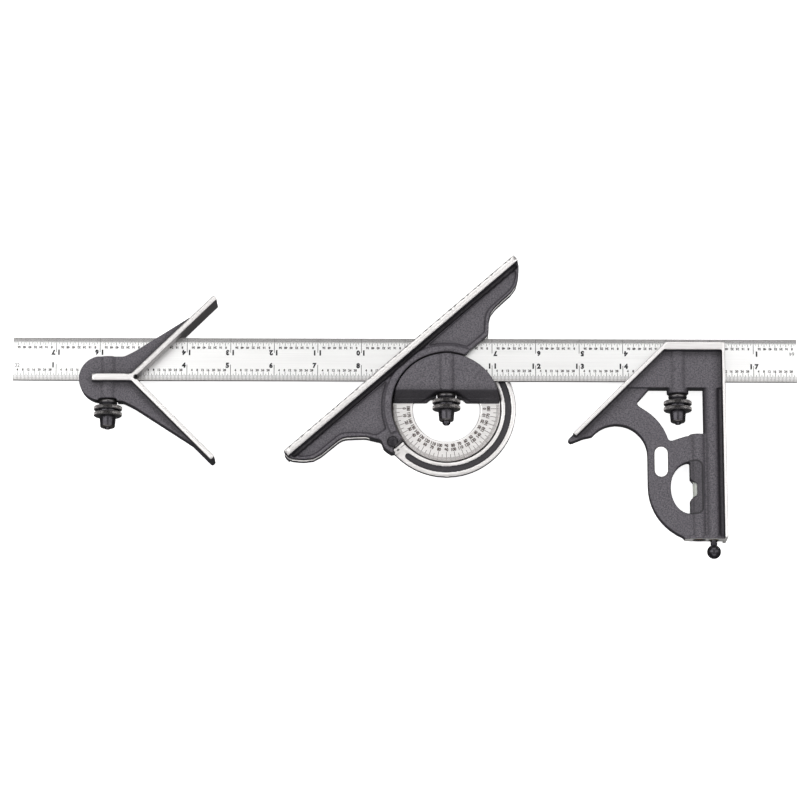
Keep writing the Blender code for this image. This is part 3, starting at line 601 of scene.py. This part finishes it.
def blade_marks(ink, fine_ink):
    """Thirty-seconds and sixty-fourths in front, eighths and sixteenths on the back."""
    front_low = Matrix.Translation((BLADE_LOW.x, BLADE_LOW.y, BLADE_HIGH.z + INK_LIFT))
    half_turn = Matrix.Rotation(math.pi, 4, "Z")
    front_high = Matrix.Translation((BLADE_HIGH.x, BLADE_HIGH.y, BLADE_HIGH.z + INK_LIFT)) @ half_turn
    flip = Matrix.Rotation(math.pi, 4, "X")
    back_low = Matrix.Translation((BLADE_LOW.x, BLADE_HIGH.y, BLADE_LOW.z - INK_LIFT)) @ flip
    back_high = Matrix.Translation((BLADE_HIGH.x, BLADE_LOW.y, BLADE_LOW.z - INK_LIFT)) @ flip @ half_turn
    marks, digits, fine = Marks(), Marks(), Marks()
    thirty_seconds = [(32, 9.4), (16, 5.6), (8, 5.3), (4, 5.0), (2, 3.9), (1, 3.1)]
    sixty_fourths = [(64, 8.8), (32, 4.9), (8, 4.6), (4, 3.7), (2, 3.1), (1, 2.5)]
    ruler(marks, digits, fine, front_low, 32, 4, thirty_seconds, (5.4, 1.5), (7.4, 3.2))
    ruler(marks, digits, fine, front_high, 64, 8, sixty_fourths, (5.1, 1.5), (7.2, 3.2))
    digits.number("32", 2.7, 7.7, 2.3, front_low, 0.0, 0.9)
    digits.number("64", 3.0, 7.7, 2.3, front_high, 0.0, 0.9)
    eighths = [(8, 8.6), (4, 6.0), (2, 4.6), (1, 3.4)]
    sixteenths = [(16, 8.6), (8, 5.8), (4, 4.8), (2, 3.8), (1, 2.9)]
    ruler(marks, digits, fine, back_low, 8, 8, eighths, (5.5, 1.35), (7.0, 3.2))
    ruler(marks, digits, fine, back_high, 16, 16, sixteenths, (5.5, 1.35), (7.0, 3.2))
    marks.piece("blade_graduations", fine_ink, "blade", "blade_chrome")
    digits.piece("blade_inch_numbers", ink, "blade", "blade_chrome")
    fine.piece("blade_small_numbers", fine_ink, "blade", "blade_chrome")


def dial_marks(ink):
    """A half circle of degrees below the turret's block, numbered both ways."""
    face = Vector((TURRET_X, TURRET_Y, DIAL_TOP + INK_LIFT))
    marks, digits = Marks(), Marks()
    for degree in range(-4, 185):
        place = Matrix.Translation(face) @ Matrix.Rotation(math.radians(degree - 90), 4, "Z")
        start = 25.8 if degree % 10 == 0 else 27.3 if degree % 5 == 0 else 29.0
        marks.line(0.0, -31.4, -start, 0.21 if degree % 5 else 0.28, place)
    for ten in range(0, 190, 10):
        place = Matrix.Translation(face) @ Matrix.Rotation(math.radians(ten - 90), 4, "Z")
        digits.number(str(ten), 0.0, -25.6, 2.1, place, 0.06, 0.84)
        digits.number(str(180 - ten), 0.0, -23.2, 2.1, place, 0.06, 0.84)
    marks.piece("dial_graduations", ink, "turret", "dial_chrome")
    digits.piece("dial_numbers", ink, "turret", "dial_chrome")


def index_mark(ink):
    """The zero line and figure on the bright plate beside the dial."""
    marks = Marks()
    face = Vector((TURRET_X, TURRET_Y, PLATE_TOP + INK_LIFT))
    place = Matrix.Translation(face) @ Matrix.Rotation(SWIVEL - math.pi / 2, 4, "Z")
    marks.line(0.0, -35.2, -32.2, 0.26, place)
    marks.number("0", 0.0, -38.2, 1.7, place, 0.045)
    marks.piece("protractor_index", ink, "protractor", "dial_chrome")


# ---------------------------------------------------------------- castings

UP, DOWN = (0, 0, 1), (0, 0, -1)


def land_planes():
    """The front and back lands, common to every head."""
    return [((0, 0, MIDDLE_Z + LAND), UP), ((0, 0, MIDDLE_Z - LAND), DOWN)]


def slot_planes():
    return [((0, 0, MIDDLE_Z + SLOT), DOWN), ((0, 0, MIDDLE_Z - SLOT), UP)]


def square_head():
    low, high = (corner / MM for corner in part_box("square_head_body"))
    corner = Vector((MITRE_X, high.y, MIDDLE_Z))
    faces = land_planes() + [
        (high, (1, 0, 0)),
        (high, (0, 1, 0)),
        (low, (0, -1, 0)),
        (corner, (-1, 1, 0)),
    ]
    vial_low, vial_high = (corner.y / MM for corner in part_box("level_vial_glass"))
    scoop_low = Vector((SCOOP_LEFT, vial_low - 0.3, 0))
    scoop_high = Vector((SCOOP_RIGHT, vial_high + 2.3, 0))

    def scoop(look):
        """Painted shade in the sunk place over the vial, darkest along its outline."""
        middle, half = (scoop_low + scoop_high) / 2, (scoop_high - scoop_low) / 2
        off = look.node("VectorMath", {0: look.position(), 1: middle}, operation="SUBTRACT")
        flat = look.node(
            "VectorMath", {0: off.outputs["Vector"], 1: (1.0, 1.0, 0.0)}, operation="MULTIPLY"
        )
        size = look.node("VectorMath", {0: flat.outputs["Vector"]}, operation="ABSOLUTE")
        reach = (half.x - SCOOP_CORNER, half.y - SCOOP_CORNER, 0.0)
        past = look.node("VectorMath", {0: size.outputs["Vector"], 1: reach}, operation="SUBTRACT")
        past = look.node(
            "VectorMath", {0: past.outputs["Vector"], 1: (0.0, 0.0, 0.0)}, operation="MAXIMUM"
        )
        length = look.node("VectorMath", {0: past.outputs["Vector"]}, operation="LENGTH")
        distance = look.math("SUBTRACT", length.outputs["Value"], SCOOP_CORNER)
        inside = look.remap(distance, -0.2, 0.15, 0.40, 0.0)
        outline = look.remap(look.math("ABSOLUTE", distance), 0.30, 0.85, 1.0, 0.0)
        return look.math("MAXIMUM", inside, outline)

    finish = casting_look("square_casting", faces, shadow=scoop, end=(low, (0, -1, 0)))
    cast_piece("square_head_casting", "square_head_body", "square_head", finish, faces + slot_planes())


def center_head():
    vertex = Vector((VERTEX_X, BLADE_LOW.y, MIDDLE_Z))
    faces = land_planes()
    working = [(vertex, (1, -1, 0)), (vertex, (1, 1, 0))]

    def inside_vee(look):
        """The two faces of the vee, where both planes are passed."""
        return look.math("MINIMUM", beyond(look, working[0]), beyond(look, working[1]))

    finish = casting_look("center_casting", faces, inside_vee)
    planes = faces + slot_planes() + working
    cast_piece("center_head_casting", "center_head_body", "center_head", finish, planes)


def protractor_frame():
    edge = TURRET_AXIS + ACROSS_EDGE * EDGE_OUT
    faces = land_planes() + [(edge, ACROSS_EDGE)]

    def arc_plate(look):
        """The bright top of the arc plate, facing up."""
        z = look.separate(look.position())["Z"]
        level = look.math("LESS_THAN", look.math("ABSOLUTE", look.math("SUBTRACT", z, PLATE_TOP)), 0.12)
        facing = look.math("GREATER_THAN", look.separate(look.normal())["Z"], 0.8)
        return look.math("MULTIPLY", level, facing)

    def groove(look):
        """The groove sunk in the arc plate: its dark paint is darkened further on the floor as painted
        shade.
        """
        z = look.separate(look.position())["Z"]
        low = look.math("LESS_THAN", z, PLATE_TOP - 0.25)
        facing = look.math("GREATER_THAN", look.separate(look.normal())["Z"], 0.5)
        return look.math("MULTIPLY", look.math("MULTIPLY", low, facing), 0.9)

    finish = casting_look("protractor_casting", faces, arc_plate, -SWIVEL, groove)
    planes = faces + slot_planes() + [((0, 0, PLATE_TOP), UP), ((0, 0, GROOVE_FLOOR), UP)]
    name = "protractor_frame_casting"
    cast_piece(name, "protractor_frame", "protractor", finish, planes, passes=8)


def turret():
    planes = [
        ((0, 0, DIAL_TOP), UP),
        ((0, 0, MIDDLE_Z - 4.9), DOWN),
        ((0, 0, MIDDLE_Z + SLOT), DOWN),
    ]

    def dial(look):
        z = look.separate(look.position())["Z"]
        return look.math("LESS_THAN", z, DIAL_TOP + 0.06)

    def slope_shade(look):
        """The slope below the block darkens gently towards its lower edge, beside the ridge."""
        axes = look.separate(look.position())
        fall = look.remap(axes["Y"], TURRET_Y + 13.5, TURRET_Y + 7.5, 0.0, 0.62)
        beside = look.math("ABSOLUTE", look.math("SUBTRACT", axes["X"], TURRET_X))
        return look.math("MULTIPLY", fall, look.remap(beside, 3.5, 6.0, 0.3, 1.0))

    far_plane = [((0, 0, MIDDLE_Z + 20), UP)]
    finish = casting_look("turret_casting", far_plane, dial, shadow=slope_shade)
    name = "protractor_turret_casting"
    cast_piece(name, "protractor_turret", "turret", finish, planes, voxel=0.36, passes=10)


# ---------------------------------------------------------------- turned pieces


def clamp_nut(head, body, finish):
    """Collar, two knurled rings and a tapered nose, about the clamp axis."""
    low, high = (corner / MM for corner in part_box(head + "_clamp_nut"))
    collar_top = 4.8
    place = ((low.x + high.x) / 2, high.y - collar_top, MIDDLE_Z)
    hole, ring, groove = 2.65, 8.2, 6.0
    profile = [(hole, collar_top), (4.6, collar_top)]
    profile += [(4.6 + 0.8 * math.sin(t), 4.0 + 0.8 * math.cos(t)) for t in np.radians((30, 60, 90))]
    profile += [(5.4, 3.3), (5.15, 2.6), (4.9, 2.2), (5.1, 1.75)]
    for centre in (0.0, -3.55):
        profile += [(groove, centre + 1.45), (ring - 0.55, centre + 1.15), (ring - 0.12, centre + 0.85)]
        profile += [(ring, centre + 0.45), (ring, centre - 0.45)]
        profile += [(ring - 0.12, centre - 0.85), (ring - 0.55, centre - 1.15), (groove, centre - 1.45)]
    profile += [(4.85, -5.35), (4.65, -5.9), (4.55, -7.5), (4.35, -9.6)]
    nose = np.radians((0, 25, 50, 75, 90))
    profile += [(3.35 + 1.0 * math.cos(t), -10.3 - 1.2 * math.sin(t)) for t in nose]
    profile += [(hole, -11.5)]

    def band(radius):
        return radius > ring - 0.3

    mesh = lathe(head + "_nut", profile, place, steps=240, teeth=60, depth=0.42, knurled=band)
    new_piece(head + "_clamp_nut_knurled", mesh, finish, body, "black_oxide", head + "_clamp_nut")


def scriber_knob(finish):
    low, high = (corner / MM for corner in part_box("scriber_knob"))
    x, bottom = (low.x + high.x) / 2, low.y
    radius = (high.x - low.x) / 2
    centre = radius  # height of the ball's centre above the knob's end
    top = high.y - bottom
    neck = 2.1
    profile = [(0.0, top - 4.6), (1.42, top - 4.6), (1.42, top), (neck - 0.2, top), (neck, top - 0.2)]
    profile += [(neck, top - 0.9), (1.7, top - 1.1), (1.7, top - 1.4), (neck - 0.1, top - 1.6)]
    start = math.asin(1.75 / radius)
    turns = [start + (math.pi - start) * i / 28 for i in range(29)]
    profile += [(radius * math.sin(t), centre + radius * math.cos(t)) for t in turns[:-1]]
    profile += [(0.0, 0.0)]
    mesh = lathe("scriber_knob_turned", profile, (x, bottom, MIDDLE_Z), steps=64)
    new_piece("scriber_knob_turned", mesh, finish, "scriber", "black_oxide", "scriber_knob")


def capsule(radius, low, high, inset, steps=8):
    """The profile of a rounded tube, from its upper end to its lower end."""
    top = [(radius * math.sin(t), high - inset + inset * math.cos(t)) for t in arc_angles(steps)]
    bottom = [(radius * math.sin(t), low + inset - inset * math.cos(t)) for t in reversed(arc_angles(steps))]
    return top + bottom


def arc_angles(steps):
    return [math.pi / 2 * i / steps for i in range(steps + 1)]


def level_vial(glass, spirit, bubble_look, ink):
    """A glass vial with its spirit, bubble and two lines."""
    low, high = (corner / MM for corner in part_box("level_vial_glass"))
    x = (low.x + high.x) / 2
    place = (x, 0.0, MIDDLE_Z)
    outer = (high.x - low.x) / 2
    tube = lathe("level_vial_tube", capsule(outer, low.y, high.y, 1.4), place, steps=64)
    new_piece("level_vial_tube", tube, glass, "square_head", "vial_glass", "level_vial_glass")
    inner = capsule(outer - 0.55, low.y + 0.8, high.y - 0.8, 1.2)
    liquid = lathe("level_vial_spirit", inner, place, steps=64)
    new_piece("level_vial_spirit", liquid, spirit, "square_head", "vial_glass")
    middle = (low.y + high.y) / 2
    air = lathe("level_vial_bubble", capsule(1.5, middle - 4.4, middle + 4.4, 2.2), place, steps=48)
    for vertex in air.vertices:
        vertex.co.x -= 0.95 * MM
    new_piece("level_vial_bubble", air, bubble_look, "square_head", "vial_glass")
    ring = outer + 0.03
    for i, offset in enumerate((-5.2, 5.2), 1):
        y = middle + offset
        band = [(outer - 0.1, y + 0.2), (ring, y + 0.2), (ring, y - 0.2), (outer - 0.1, y - 0.2)]
        mesh = lathe(f"level_vial_line_{i}", band, place, steps=64)
        new_piece(f"level_vial_line_{i}", mesh, ink, "square_head", "black_oxide")


def badge(finish):
    """A blank oval nameplate with a softly domed face."""
    low, high = (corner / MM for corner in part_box("badge_plate"))
    x, radius = (low.x + high.x) / 2, (high.x - low.x) / 2
    ends = (low.y + radius, high.y - radius)
    rows = [(0.0, low.z), (0.0, high.z - 0.15), (0.12, high.z - 0.03)]
    rows += [(0.35, high.z + 0.02), (0.9, high.z + 0.05)]
    steps = 24
    points, faces = [], []
    for inset, z in rows:
        for end, start in ((ends[1], 0.0), (ends[0], math.pi)):
            for i in range(steps + 1):
                turn = start + math.pi * i / steps
                r = radius - inset
                points.append((x + r * math.cos(turn), end + r * math.sin(turn), z))
    ring = 2 * (steps + 1)
    for row in range(len(rows) - 1):
        for i in range(ring):
            j = (i + 1) % ring
            faces.append((row * ring + i, row * ring + j, (row + 1) * ring + j, (row + 1) * ring + i))
    mesh = bpy.data.meshes.new("badge_nameplate")
    faces.append(tuple(range(ring - 1, -1, -1)))
    faces.append(tuple(range((len(rows) - 1) * ring, len(rows) * ring)))
    mesh.from_pydata([tuple(c * MM for c in point) for point in points], [], faces)
    mesh.update()
    mesh.shade_smooth()
    mesh.set_sharp_from_angle(angle=math.radians(50))
    new_piece("badge_nameplate", mesh, finish, "square_head", "white_enamel", "badge_plate")


# ---------------------------------------------------------------- studio


def floor():
    look = Look("floor_white", (0.9, 0.9, 0.9), 0.9)
    look.set("Emission Color", (1.0, 1.0, 1.0, 1.0))
    look.set("Emission Strength", 0.82)
    look.set("Specular IOR Level", 0.0)
    bpy.ops.mesh.primitive_plane_add(size=12.0, location=(0.0, 0.0, -0.0003))
    made = bpy.context.object
    made.name = "floor"
    made.data.materials.append(look.material)
    made.visible_diffuse = False
    made.visible_glossy = False


def world():
    made = bpy.data.worlds.new("studio")
    bpy.context.scene.world = made
    made.use_nodes = True
    nodes, links = made.node_tree.nodes, made.node_tree.links
    background = nodes["Background"]
    direction = nodes.new("ShaderNodeTexCoord")
    split = nodes.new("ShaderNodeSeparateXYZ")
    ramp = nodes.new("ShaderNodeValToRGB")
    links.new(direction.outputs["Generated"], split.inputs["Vector"])
    lift = nodes.new("ShaderNodeMapRange")
    lift.inputs["From Min"].default_value = -1.0
    links.new(split.outputs["Z"], lift.inputs["Value"])
    links.new(lift.outputs["Result"], ramp.inputs["Fac"])
    stops = [(0.0, 0.10), (0.50, 0.10), (0.70, 0.18), (0.88, 0.52), (1.0, 0.74)]
    ramp.color_ramp.elements[0].position = stops[0][0]
    ramp.color_ramp.elements[1].position = stops[-1][0]
    for place, _ in stops[1:-1]:
        ramp.color_ramp.elements.new(place)
    for element, (_, grey) in zip(ramp.color_ramp.elements, stops):
        element.color = (grey, grey, grey, 1.0)
    links.new(ramp.outputs["Color"], background.inputs["Color"])
    background.inputs["Strength"].default_value = 1.0


def softbox(name, place, size, power):
    light = bpy.data.lights.new(name, "AREA")
    light.shape = "RECTANGLE"
    light.size, light.size_y = size
    light.energy = power
    made = bpy.data.objects.new(name, light)
    made.location = place
    made.rotation_euler = (-Vector(place)).to_track_quat("-Z", "Y").to_euler()
    bpy.context.scene.collection.objects.link(made)


def camera():
    """Looks down at the set from a little in front of it."""
    distance, tilt, roll = 2.0, math.radians(13.08), math.radians(0.16)
    target = Vector((-0.0028, 0.0041, MIDDLE_Z * MM))
    data = bpy.data.cameras.new("camera")
    data.lens = 154.7
    data.clip_end = 20.0
    made = bpy.data.objects.new("camera", data)
    made.location = target + distance * Vector((0.0, -math.sin(tilt), math.cos(tilt)))
    turn = Matrix.Rotation(tilt, 4, "X") @ Matrix.Rotation(roll, 4, "Z")
    made.rotation_euler = turn.to_euler()
    bpy.context.scene.collection.objects.link(made)
    bpy.context.scene.camera = made


def main():
    bpy.context.scene.view_settings.view_transform = "Standard"
    camera()
    world()
    floor()
    softbox("left_box", (-1.15, 0.15, 1.30), (0.8, 1.8), 12.0)
    softbox("right_box", (1.15, 0.15, 1.30), (0.8, 1.8), 8.0)
    softbox("back_box", (0.0, 1.3, 1.35), (1.8, 0.7), 9.0)
    softbox("front_box", (0.0, -1.45, 0.85), (1.8, 0.7), 7.0)

    chrome = chrome_look()
    oxide = black_oxide_look("black_oxide", False)
    worn_oxide = black_oxide_look("worn_oxide", True)
    steel = turned_steel_look("bright_steel", (0.62, 0.62, 0.63), (0.40, 0.40, 0.41), 0.28)
    spring = turned_steel_look("spring_steel", (0.42, 0.42, 0.44), (0.25, 0.25, 0.27), 0.35)
    brass = turned_steel_look("turned_brass", (0.74, 0.54, 0.24), (0.55, 0.38, 0.16), 0.28)
    ink = ink_look("black_ink", (0.016, 0.015, 0.018))
    fine_ink = ink_look("grey_ink", (0.035, 0.030, 0.029))
    dial_ink = ink_look("dial_ink", (0.085, 0.068, 0.062))
    rubber = rubber_look()
    enamel = enamel_look()
    glass = glass_look("vial_glass", (0.97, 0.99, 0.96), 1.5)
    spirit = glass_look("vial_spirit", (0.97, 0.98, 0.94), 1.36, 0.05, 0.10)
    air = glass_look("vial_air", (1.0, 1.0, 1.0), 1.0)

    finishes = {
        "blade": chrome,
        "turret_retaining_ring": steel,
        "scriber_needle": steel,
        "scriber_bushing": brass,
        "level_vial_plug": brass,
        "turret_lock_shoe": brass,
        "level_vial_cushion": rubber,
        "turret_lock_screw": oxide,
        "turret_lock_nut": oxide,
    }
    finishes.update({f"ring_screw_{i}": steel for i in range(1, 5)})
    for head in ("center", "turret", "square"):
        finishes[head + "_clamp_bolt"] = oxide
        finishes[head + "_clamp_spring"] = spring
    for node, finish in finishes.items():
        dress(node, finish)
    bevelled("blade", 0.12, 2)
    for node in ("turret_retaining_ring", "turret_lock_shoe"):
        bevelled(node, 0.2, 2, 50)
    for head in ("center", "turret", "square"):
        bevelled(head + "_clamp_bolt", 0.35, 3, 40)

    square_head()
    center_head()
    protractor_frame()
    turret()
    clamp_nut("center", "center_nut", worn_oxide)
    clamp_nut("turret", "turret_nut", worn_oxide)
    clamp_nut("square", "square_nut", worn_oxide)
    scriber_knob(oxide)
    level_vial(glass, spirit, air, ink)
    badge(enamel)
    blade_marks(ink, fine_ink)
    dial_marks(dial_ink)
    index_mark(ink)


main()
